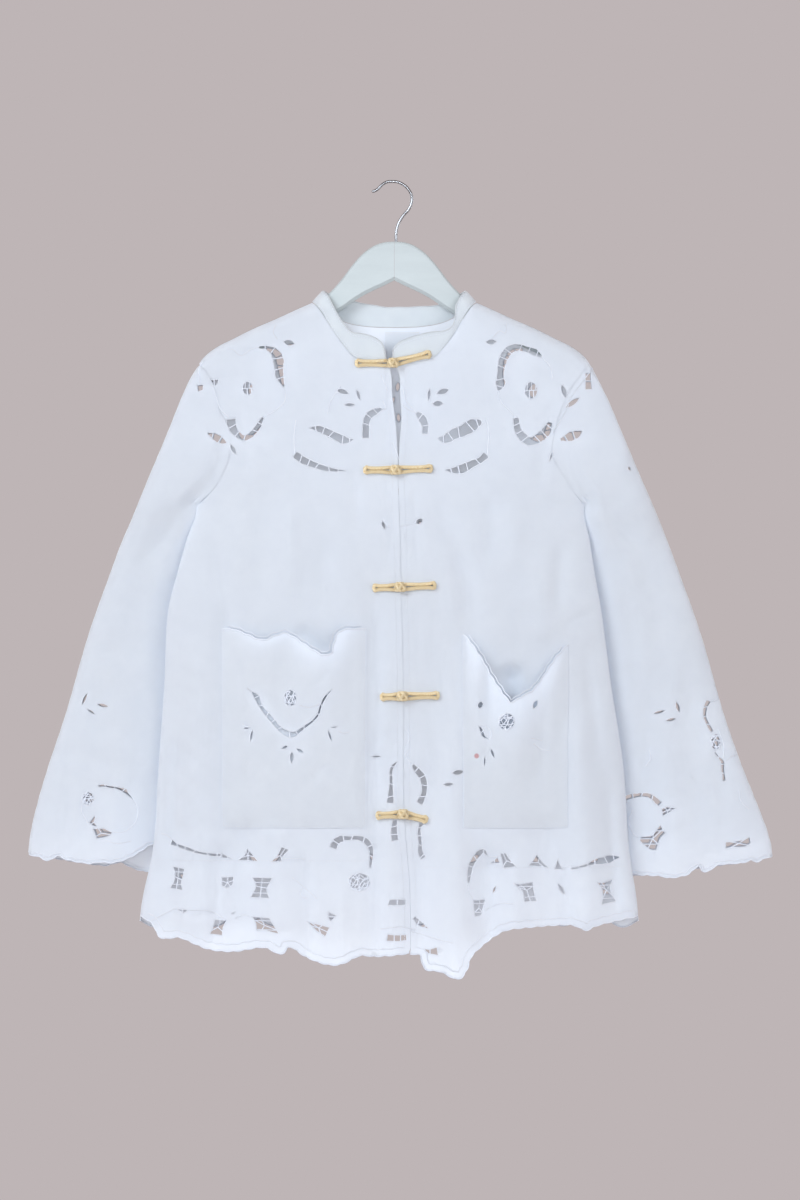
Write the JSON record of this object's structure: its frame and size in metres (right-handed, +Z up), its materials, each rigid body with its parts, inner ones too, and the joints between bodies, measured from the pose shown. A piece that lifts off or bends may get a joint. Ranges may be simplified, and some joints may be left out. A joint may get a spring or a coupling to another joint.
{
  "type": "tablecloth jacket on a wooden hanger",
  "caption": "Loose cutwork jacket with a stand collar, wide sleeves, patch pockets and cord knot fastenings, hung on a wooden hanger with a wire hook.",
  "frame": {"origin": "the inside of the top of the hook, where it rests on a rail", "axes": "+Z up, the front of the jacket faces -Y, +X to the right of a viewer who faces the front"},
  "size_m": [0.8964, 0.1132, 0.9535],
  "materials": {
    "cloth": "plain woven cotton, matt",
    "collar_cloth": "doubled plain woven cotton, matt",
    "label_tape": "woven tape, bare",
    "cord": "twisted gold cord, slight sheen",
    "painted_wood": "white paint, satin",
    "hook_wire": "plated wire, polished"
  },
  "bodies": {
    "root": {"back": "cloth", "front_left": "cloth", "front_right": "cloth", "sleeve_left_front": "cloth", "sleeve_left_back": "cloth", "sleeve_right_front": "cloth", "sleeve_right_back": "cloth", "pocket_left": "cloth", "pocket_right": "cloth", "collar": "collar_cloth", "label": "label_tape", "hanger_arm_left": "painted_wood", "hanger_arm_right": "painted_wood", "hook": "hook_wire", "frog_1_left": "cord", "frog_1_ball": "cord", "frog_1_right": "cord", "frog_2_left": "cord", "frog_2_ball": "cord", "frog_2_right": "cord", "frog_3_left": "cord", "frog_3_ball": "cord", "frog_3_right": "cord", "frog_4_left": "cord", "frog_4_ball": "cord", "frog_4_right": "cord", "frog_5_left": "cord", "frog_5_ball": "cord", "frog_5_right": "cord"}
  },
  "joints": []
}
